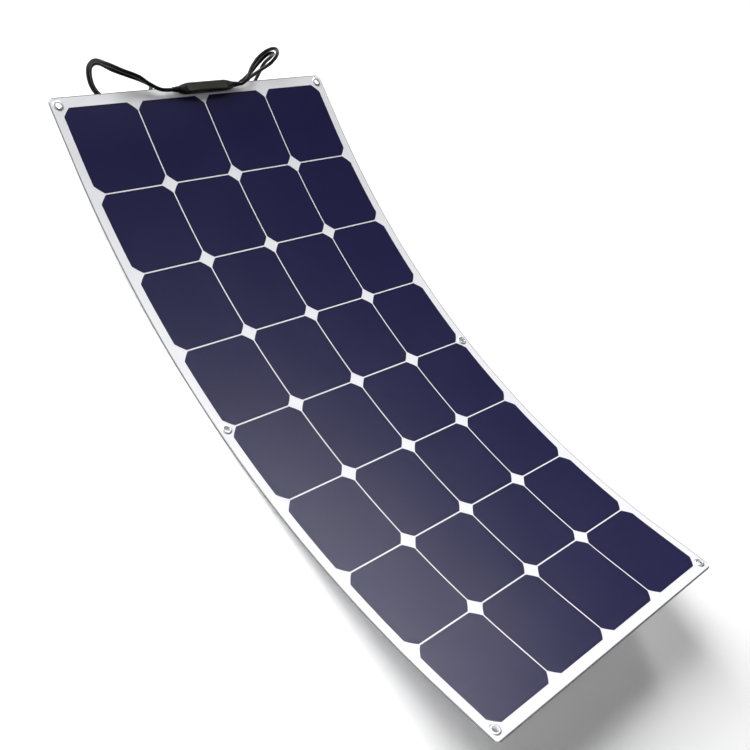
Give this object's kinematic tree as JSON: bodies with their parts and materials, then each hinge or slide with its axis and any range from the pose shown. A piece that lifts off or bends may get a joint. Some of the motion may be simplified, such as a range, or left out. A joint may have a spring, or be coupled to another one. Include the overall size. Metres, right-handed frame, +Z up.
{
  "type": "flexible solar sheet",
  "caption": "Thin flexible solar laminate, bent along its length, with dark trimmed cells on a white back, corner and side eyelets, a slim edge junction box and two looped leads.",
  "frame": {"origin": "centre of the bent sheet's footprint, on the surface that it stands on, leads left out", "axes": "+X across the sheet to the right, +Y along it towards the junction box, +Z up from the cells' side"},
  "size_m": [0.54, 1.1066, 0.1303],
  "materials": {
    "backsheet": "white glass-fibre reinforced back sheet, satin",
    "cell": "dark navy back-contact silicon behind clear film",
    "film": "clear front film with a slight satin texture",
    "eyelet": "nickel-plated, lightly worn",
    "seal": "matt black foam tape",
    "box": "olive-black moulded plastic",
    "relief": "black moulded rubber, ribbed",
    "diode": "black epoxy",
    "terminal": "tinned copper bar",
    "lead": "black solar cable sheath",
    "connector": "black moulded plastic"
  },
  "bodies": {
    "row_1": {"backsheet_row_1": "backsheet", "cell_1_1": "cell", "cell_1_2": "cell", "cell_1_3": "cell", "cell_1_4": "cell", "eyelet_head_left": "eyelet", "eyelet_head_right": "eyelet", "box_seal": "seal", "box_base": "box", "box_lid": "box", "bypass_diode_left": "diode", "bypass_diode_right": "diode", "terminal_left": "terminal", "terminal_right": "terminal", "strain_relief_left": "relief", "strain_relief_right": "relief"},
    "row_2": {"backsheet_row_2": "backsheet", "cell_2_1": "cell", "cell_2_2": "cell", "cell_2_3": "cell", "cell_2_4": "cell"},
    "row_3": {"backsheet_row_3": "backsheet", "cell_3_1": "cell", "cell_3_2": "cell", "cell_3_3": "cell", "cell_3_4": "cell"},
    "row_4": {"backsheet_row_4": "backsheet", "cell_4_1": "cell", "cell_4_2": "cell", "cell_4_3": "cell", "cell_4_4": "cell", "front_film": "film", "eyelet_middle_left": "eyelet", "eyelet_middle_right": "eyelet"},
    "row_5": {"backsheet_row_5": "backsheet", "cell_5_1": "cell", "cell_5_2": "cell", "cell_5_3": "cell", "cell_5_4": "cell"},
    "row_6": {"backsheet_row_6": "backsheet", "cell_6_1": "cell", "cell_6_2": "cell", "cell_6_3": "cell", "cell_6_4": "cell"},
    "row_7": {"backsheet_row_7": "backsheet", "cell_7_1": "cell", "cell_7_2": "cell", "cell_7_3": "cell", "cell_7_4": "cell"},
    "row_8": {"backsheet_row_8": "backsheet", "cell_8_1": "cell", "cell_8_2": "cell", "cell_8_3": "cell", "cell_8_4": "cell", "eyelet_foot_left": "eyelet", "eyelet_foot_right": "eyelet"},
    "lead_left": {"lead_left": "lead", "connector_left": "connector"},
    "lead_right": {"lead_right": "lead", "connector_right": "connector"}
  },
  "joints": [
    {"name": "flex_4_5", "type": "hinge", "parent": "row_4", "child": "row_5", "pos_m": [0, -0.0048, 0.00085], "axis": [-1, 0, 0], "range_deg": [-5.39, 2.76], "stiffness_Nm_per_rad": 85, "deforming": ["front_film"]},
    {"name": "flex_5_6", "type": "hinge", "parent": "row_5", "child": "row_6", "pos_m": [0, -0.13224, 0.01287], "axis": [-1, 0, 0], "range_deg": [-5.39, 2.76], "stiffness_Nm_per_rad": 85},
    {"name": "flex_6_7", "type": "hinge", "parent": "row_6", "child": "row_7", "pos_m": [0, -0.25798, 0.0368], "axis": [-1, 0, 0], "range_deg": [-5.39, 2.76], "stiffness_Nm_per_rad": 85},
    {"name": "flex_7_8", "type": "hinge", "parent": "row_7", "child": "row_8", "pos_m": [0, -0.38092, 0.07244], "axis": [-1, 0, 0], "range_deg": [-5.39, 2.76], "stiffness_Nm_per_rad": 85},
    {"name": "flex_3_4", "type": "hinge", "parent": "row_4", "child": "row_3", "pos_m": [0, 0.1232, 0.00085], "axis": [1, 0, 0], "range_deg": [-5.39, 2.76], "stiffness_Nm_per_rad": 85},
    {"name": "flex_2_3", "type": "hinge", "parent": "row_3", "child": "row_2", "pos_m": [0, 0.25063, 0.01287], "axis": [1, 0, 0], "range_deg": [-5.39, 2.76], "stiffness_Nm_per_rad": 85},
    {"name": "flex_1_2", "type": "hinge", "parent": "row_2", "child": "row_1", "pos_m": [0, 0.37637, 0.0368], "axis": [1, 0, 0], "range_deg": [-5.39, 2.76], "stiffness_Nm_per_rad": 85},
    {"name": "lead_left_flex", "type": "hinge", "parent": "row_1", "child": "lead_left", "pos_m": [0, 0.2512, 0.0089], "axis": [1, 0, 0], "range_deg": [-8.3, 16.2], "deforming": ["lead_left"]},
    {"name": "lead_right_flex", "type": "hinge", "parent": "row_1", "child": "lead_right", "pos_m": [0, 0.2512, 0.0089], "axis": [1, 0, 0], "range_deg": [-8.3, 16.2], "deforming": ["lead_right"]}
  ],
  "couplings": [
    {"joint": "flex_1_2", "follows": "flex_4_5", "ratio": 1},
    {"joint": "flex_2_3", "follows": "flex_4_5", "ratio": 1},
    {"joint": "flex_3_4", "follows": "flex_4_5", "ratio": 1},
    {"joint": "flex_5_6", "follows": "flex_4_5", "ratio": 1},
    {"joint": "flex_6_7", "follows": "flex_4_5", "ratio": 1},
    {"joint": "flex_7_8", "follows": "flex_4_5", "ratio": 1},
    {"joint": "lead_left_flex", "follows": "flex_4_5", "ratio": -3},
    {"joint": "lead_right_flex", "follows": "flex_4_5", "ratio": -3}
  ]
}
